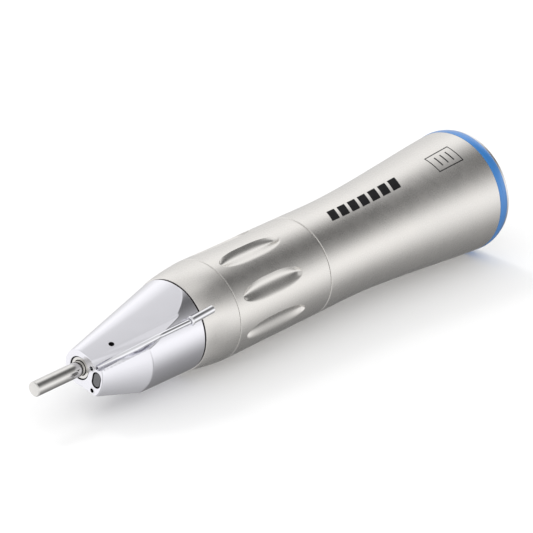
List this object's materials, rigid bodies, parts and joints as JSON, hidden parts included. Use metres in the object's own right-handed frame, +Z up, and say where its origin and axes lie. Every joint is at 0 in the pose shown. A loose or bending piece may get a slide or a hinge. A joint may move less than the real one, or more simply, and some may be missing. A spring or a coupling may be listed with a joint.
{
  "type": "straight dental handpiece",
  "caption": "Straight dental handpiece with a fluted twist-ring chuck, bright nose with light window and spray tube, flared sheath, blue ring and rear motor socket.",
  "frame": {"origin": "centre of the rear face, which is the mouth of the motor socket, on the spindle axis", "axes": "+X along the spindle axis out of the motor end, so the bur points to -X; +Z up as the handpiece lies on a table; the light and spray side faces -Y, 13 degrees below the horizontal"},
  "size_m": [0.0991, 0.0206, 0.0206],
  "materials": {
    "satin_steel": "fine satin, brushed round the axis",
    "nose_chrome": "bright satin chrome",
    "blue_band": "glossy blue",
    "end_rim": "turned, satin",
    "bright_steel": "polished stainless steel",
    "window_glass": "polished dark glass",
    "light_rod": "clear rod with polished ends",
    "seal_rubber": "matt black",
    "bearing_steel": "ground and polished",
    "cage_resin": "brown reinforced resin",
    "spring_steel": "drawn wire",
    "tool_steel": "ground tool steel",
    "core_alloy": "turned, clear anodised",
    "brass": "turned brass"
  },
  "bodies": {
    "root": {"rear_sheath": "satin_steel", "blue_ring": "blue_band", "end_ring": "end_rim", "socket_liner": "core_alloy", "latch_ring": "spring_steel", "front_collar": "satin_steel", "nose_cone": "nose_chrome", "light_window": "window_glass", "light_guide": "light_rod", "air_tube": "bright_steel", "water_nozzle": "bright_steel", "air_nozzle": "bright_steel", "spray_tube": "bright_steel", "hose_barb": "bright_steel", "dust_seal": "seal_rubber", "front_bearing_outer_ring": "bearing_steel", "second_bearing_outer_ring": "bearing_steel", "rear_bearing_outer_ring": "bearing_steel", "outer_spacer": "core_alloy", "preload_washer": "spring_steel", "bearing_nut": "brass", "core_tube": "core_alloy", "rear_circlip": "spring_steel", "sealing_rings": "seal_rubber", "stop_pin": "tool_steel", "detent_ball": "bearing_steel", "detent_spring": "spring_steel"},
    "chuck_ring": {"chuck_ring": "satin_steel"},
    "cam_slider": {"cam_slider": "brass", "cam_pins": "tool_steel"},
    "spindle": {"spindle": "tool_steel", "front_bearing_inner_ring": "bearing_steel", "second_bearing_inner_ring": "bearing_steel", "rear_bearing_inner_ring": "bearing_steel", "inner_spacer": "tool_steel", "drive_dog": "tool_steel", "dog_pin": "tool_steel", "chuck_spring": "spring_steel"},
    "collet": {"collet": "tool_steel", "collet_nut": "tool_steel", "release_ring": "tool_steel", "release_pins": "tool_steel"},
    "bur": {"bur_blank": "tool_steel"},
    "front_cage": {"front_bearing_balls": "bearing_steel", "front_bearing_cage": "cage_resin"},
    "second_cage": {"second_bearing_balls": "bearing_steel", "second_bearing_cage": "cage_resin"},
    "rear_cage": {"rear_bearing_balls": "bearing_steel", "rear_bearing_cage": "cage_resin"}
  },
  "joints": [
    {"name": "ring_twist", "type": "hinge", "parent": "root", "child": "chuck_ring", "pos_m": [-0.052, 0, 0], "axis": [1, 0, 0], "range_deg": [0, 35]},
    {"name": "slider_travel", "type": "slide", "parent": "root", "child": "cam_slider", "axis": [-1, 0, 0], "range_m": [0, 0.002]},
    {"name": "spindle_spin", "type": "hinge", "parent": "root", "child": "spindle", "pos_m": [-0.06, 0, 0], "axis": [1, 0, 0], "continuous": true},
    {"name": "collet_release", "type": "slide", "parent": "spindle", "child": "collet", "axis": [-1, 0, 0], "range_m": [0, 0.0012], "deforming": ["chuck_spring"]},
    {"name": "bur_draw", "type": "slide", "parent": "collet", "child": "bur", "axis": [-1, 0, 0], "range_m": [0, 0.033]},
    {"name": "front_cage_roll", "type": "hinge", "parent": "root", "child": "front_cage", "pos_m": [-0.0779, 0, 0], "axis": [1, 0, 0], "continuous": true},
    {"name": "second_cage_roll", "type": "hinge", "parent": "root", "child": "second_cage", "pos_m": [-0.0719, 0, 0], "axis": [1, 0, 0], "continuous": true},
    {"name": "rear_cage_roll", "type": "hinge", "parent": "root", "child": "rear_cage", "pos_m": [-0.0365, 0, 0], "axis": [1, 0, 0], "continuous": true}
  ],
  "couplings": [
    {"joint": "slider_travel", "follows": "ring_twist", "m_per_rad": 0.003273},
    {"joint": "collet_release", "follows": "ring_twist", "m_per_rad": 0.001964},
    {"joint": "front_cage_roll", "follows": "spindle_spin", "ratio": 0.4286},
    {"joint": "second_cage_roll", "follows": "spindle_spin", "ratio": 0.4286},
    {"joint": "rear_cage_roll", "follows": "spindle_spin", "ratio": 0.4286}
  ]
}
